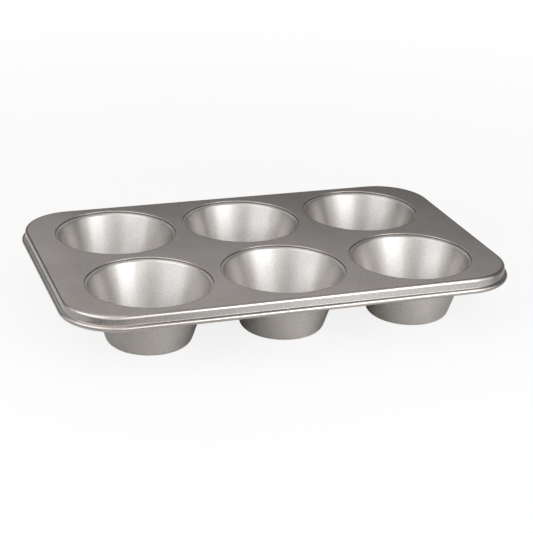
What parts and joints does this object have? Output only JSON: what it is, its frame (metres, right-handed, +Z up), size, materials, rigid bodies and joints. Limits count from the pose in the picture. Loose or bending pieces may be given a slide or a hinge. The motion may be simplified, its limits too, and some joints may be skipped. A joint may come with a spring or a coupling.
{
  "type": "muffin pan",
  "caption": "Coated steel muffin pan: a flat deck with rounded corners, a skirt and a wired bead, holding separately drawn tapered cups in stepped seats.",
  "frame": {"origin": "on the table under the pan's centre: the middle of the bounding box in plan, at the level of the cups' bases", "axes": "+X along the long side to the right, +Y to the back, +Z up"},
  "size_m": [0.3534, 0.2244, 0.0469],
  "materials": {
    "deck": "satin champagne-grey non-stick coating on pressed carbon steel",
    "cup": "satin champagne-grey non-stick coating on drawn carbon steel",
    "wire": "drawn bright steel wire"
  },
  "bodies": {
    "root": {"deck": "deck", "rim_wire": "wire", "cup_1": "cup", "cup_2": "cup", "cup_3": "cup", "cup_4": "cup", "cup_5": "cup", "cup_6": "cup"}
  },
  "joints": []
}
